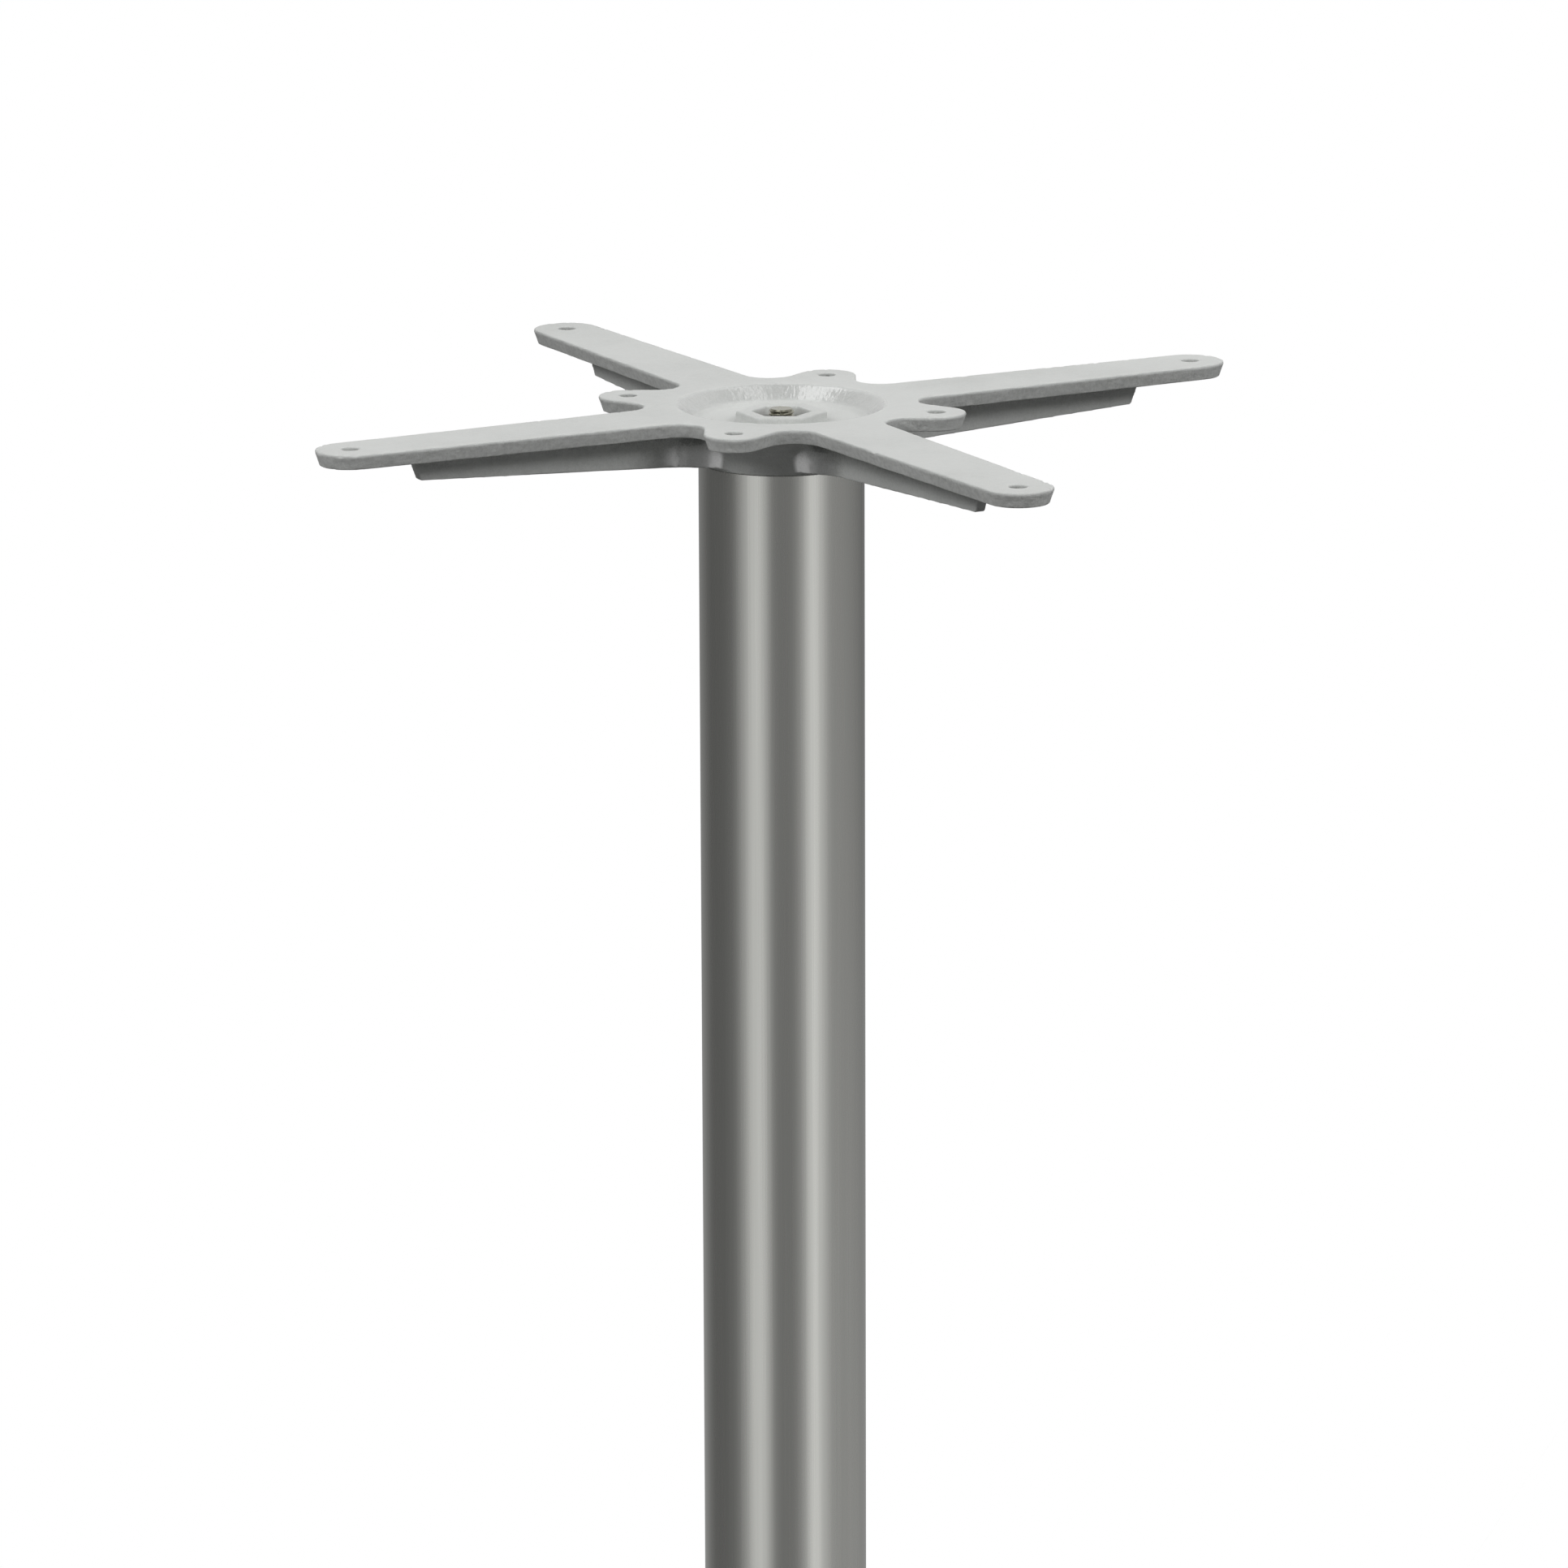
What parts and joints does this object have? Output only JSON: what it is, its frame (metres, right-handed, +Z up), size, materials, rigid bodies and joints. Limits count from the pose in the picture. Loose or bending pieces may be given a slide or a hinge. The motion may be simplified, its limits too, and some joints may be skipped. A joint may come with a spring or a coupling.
{
  "type": "standing table base",
  "caption": "Tall pedestal table base: a cast cross-shaped top spider with screw holes, a round stainless column and a weighted round foot on levelling feet.",
  "frame": {"origin": "on the floor under the column's axis, with the levelling feet screwed in", "axes": "+Z up along the column; the spider's arms lie along X and Y"},
  "size_m": [0.4662, 0.4662, 1.08],
  "materials": {
    "coated_casting": "satin",
    "satin_stainless": "satin",
    "cast_iron": "matte",
    "zinc_plated": "satin",
    "pad_plastic": "matte"
  },
  "bodies": {
    "stand": {"top_spider": "coated_casting", "column_tube": "satin_stainless", "tie_rod": "zinc_plated", "top_nut": "zinc_plated", "base_cover": "satin_stainless", "base_weight": "cast_iron", "bottom_flat_washer": "zinc_plated", "bottom_spring_washer": "zinc_plated", "bottom_nut": "zinc_plated"},
    "foot_back_right": {"foot_pad_back_right": "pad_plastic", "foot_stud_back_right": "zinc_plated"},
    "foot_back_left": {"foot_pad_back_left": "pad_plastic", "foot_stud_back_left": "zinc_plated"},
    "foot_front_left": {"foot_pad_front_left": "pad_plastic", "foot_stud_front_left": "zinc_plated"},
    "foot_front_right": {"foot_pad_front_right": "pad_plastic", "foot_stud_front_right": "zinc_plated"}
  },
  "joints": [
    {"name": "foot_back_right_level", "type": "slide", "parent": "stand", "child": "foot_back_right", "axis": [0, 0, -1], "range_m": [0, 0.008]},
    {"name": "foot_back_left_level", "type": "slide", "parent": "stand", "child": "foot_back_left", "axis": [0, 0, -1], "range_m": [0, 0.008]},
    {"name": "foot_front_left_level", "type": "slide", "parent": "stand", "child": "foot_front_left", "axis": [0, 0, -1], "range_m": [0, 0.008]},
    {"name": "foot_front_right_level", "type": "slide", "parent": "stand", "child": "foot_front_right", "axis": [0, 0, -1], "range_m": [0, 0.008]}
  ]
}
